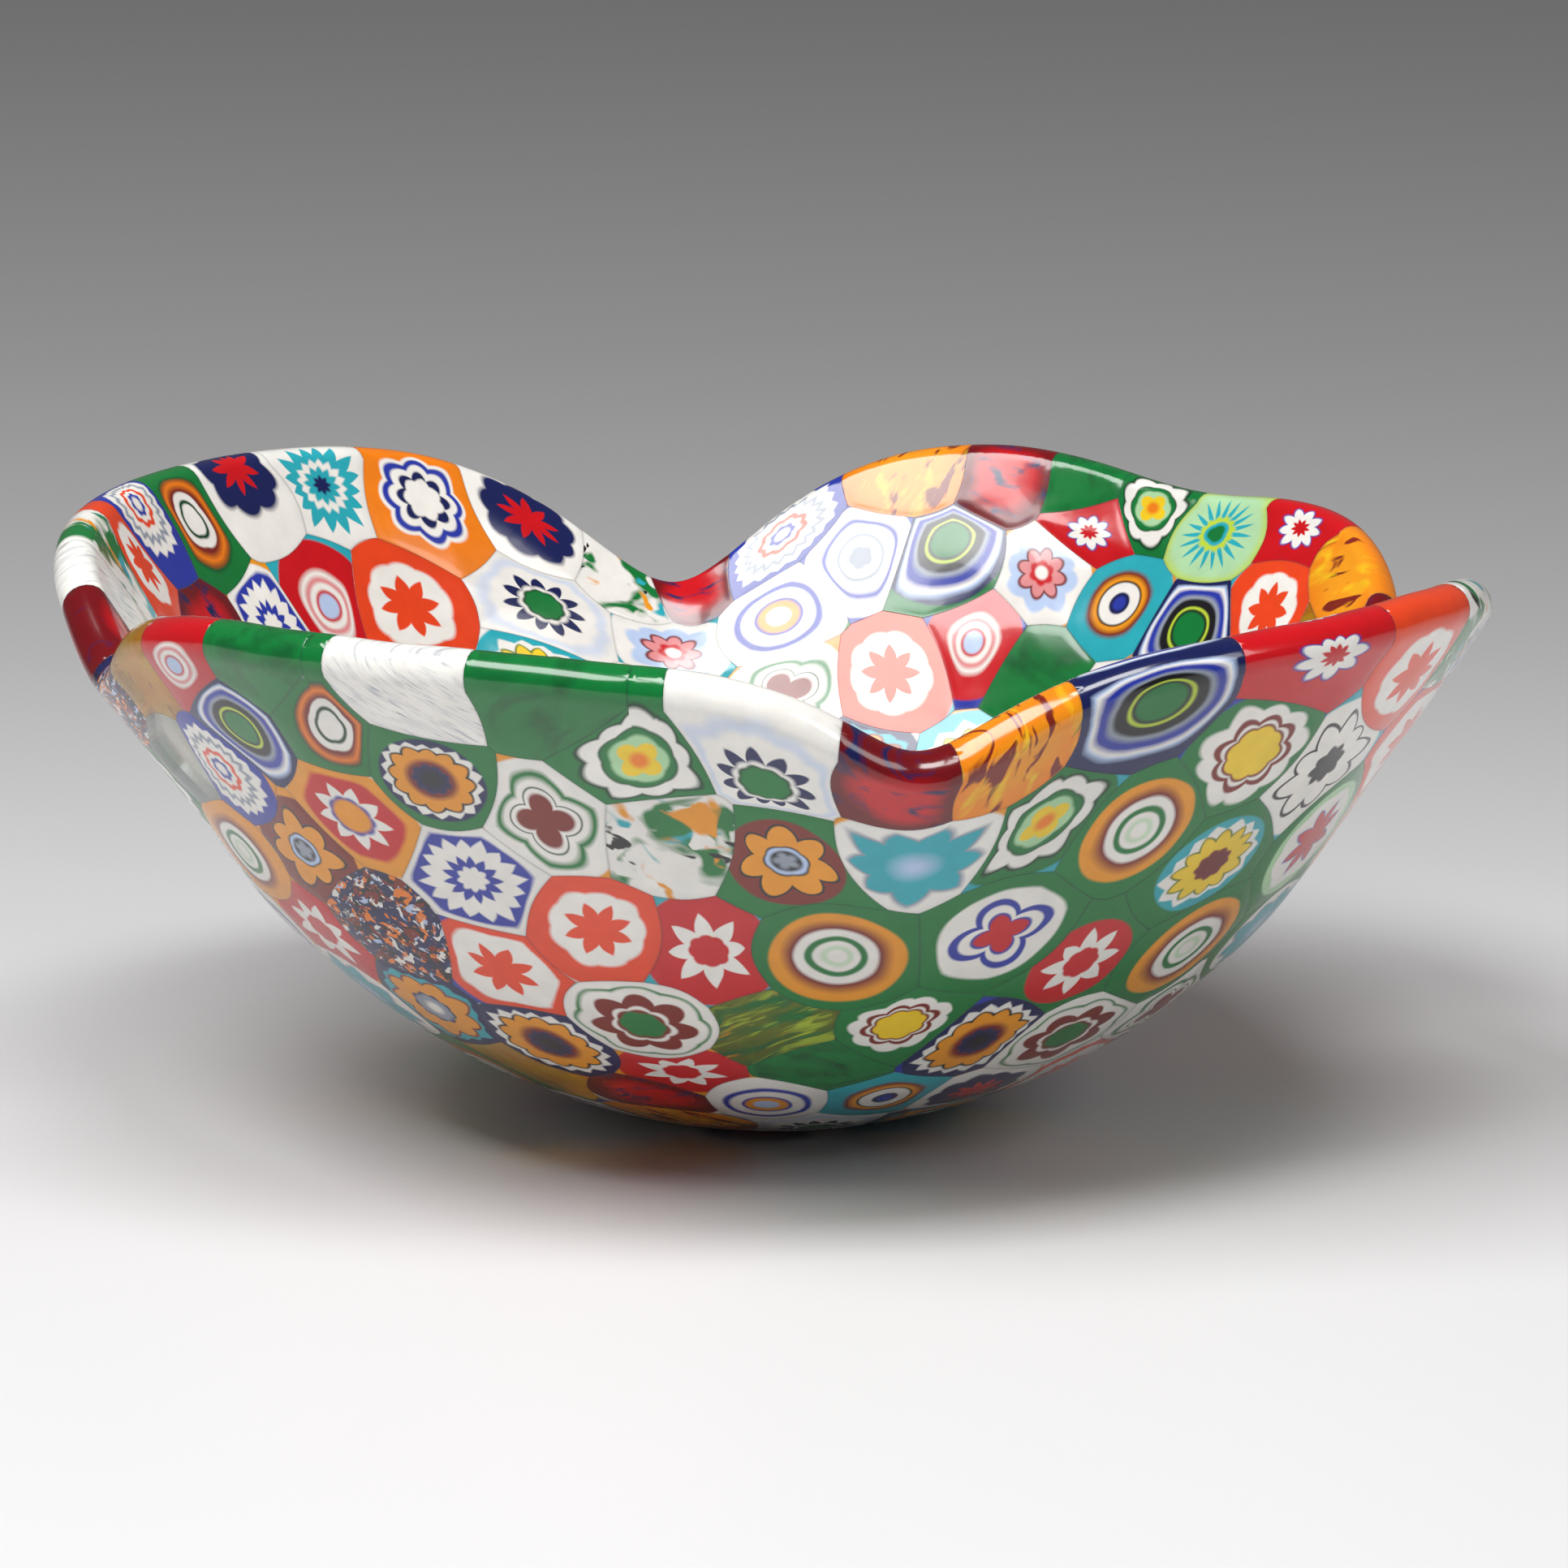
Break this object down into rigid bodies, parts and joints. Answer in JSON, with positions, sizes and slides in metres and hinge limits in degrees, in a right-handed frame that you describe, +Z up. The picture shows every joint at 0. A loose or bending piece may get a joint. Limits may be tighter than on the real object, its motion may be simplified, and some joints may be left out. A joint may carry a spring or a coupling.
{
  "type": "art glass bowl",
  "caption": "Shallow ruffled art glass bowl of patterned cane slices fused edge to edge, with a rounded lip, pinched folds in the rim and a small flat ground foot.",
  "frame": {"origin": "middle of the flat ground foot, on the surface that the bowl stands on", "axes": "+Z up out of the bowl's mouth, -Y towards the front, where the shallow pinched fold is, and +X to the right as seen from the front"},
  "size_m": [0.1311, 0.1255, 0.0541],
  "materials": {
    "red_star": "fire-polished",
    "orange_star": "fire-polished",
    "disc_star": "fire-polished",
    "orange_target": "fire-polished",
    "green_target": "fire-polished",
    "yellow_petal": "fire-polished",
    "sunflower": "fire-polished",
    "brown_cross": "fire-polished",
    "brown_daisy": "fire-polished",
    "yellow_wave": "fire-polished",
    "blue_zigzag": "fire-polished",
    "blue_cross": "fire-polished",
    "yellow_daisy": "fire-polished",
    "black_petal": "fire-polished",
    "red_cross": "fire-polished",
    "gold_star": "fire-polished",
    "lace_wheel": "fire-polished",
    "speckle": "fire-polished",
    "olive_swirl": "fire-polished",
    "turquoise_flower": "fire-polished",
    "green_flower": "fire-polished",
    "orange_bar": "fire-polished",
    "blue_cabochon": "fire-polished",
    "red_flower": "fire-polished",
    "ribbed_white": "fire-polished",
    "green_bar": "fire-polished",
    "toothed_white": "fire-polished",
    "dark_red": "fire-polished",
    "red_oval": "fire-polished",
    "green_ray": "fire-polished",
    "blue_eye": "fire-polished",
    "pink_flower": "fire-polished",
    "navy_star": "fire-polished",
    "orange_wave": "fire-polished",
    "turquoise_star": "fire-polished",
    "grey_ring": "fire-polished",
    "blue_daisy": "fire-polished",
    "white_eye": "fire-polished",
    "marble": "fire-polished",
    "amber": "fire-polished",
    "clear_glass": "fire-polished"
  },
  "bodies": {
    "root": {"red_star": "red_star", "orange_star": "orange_star", "disc_star": "disc_star", "orange_target": "orange_target", "green_target": "green_target", "yellow_petal": "yellow_petal", "sunflower": "sunflower", "brown_cross": "brown_cross", "brown_daisy": "brown_daisy", "yellow_wave": "yellow_wave", "blue_zigzag": "blue_zigzag", "blue_cross": "blue_cross", "yellow_daisy": "yellow_daisy", "black_petal": "black_petal", "red_cross": "red_cross", "gold_star": "gold_star", "lace_wheel": "lace_wheel", "speckle": "speckle", "olive_swirl": "olive_swirl", "turquoise_flower": "turquoise_flower", "green_flower": "green_flower", "orange_bar": "orange_bar", "blue_cabochon": "blue_cabochon", "red_flower": "red_flower", "ribbed_white": "ribbed_white", "green_bar": "green_bar", "toothed_white": "toothed_white", "dark_red": "dark_red", "red_oval": "red_oval", "green_ray": "green_ray", "blue_eye": "blue_eye", "pink_flower": "pink_flower", "navy_star": "navy_star", "orange_wave": "orange_wave", "turquoise_star": "turquoise_star", "grey_ring": "grey_ring", "blue_daisy": "blue_daisy", "white_eye": "white_eye", "marble": "marble", "amber": "amber", "clear_glass": "clear_glass"}
  },
  "joints": []
}
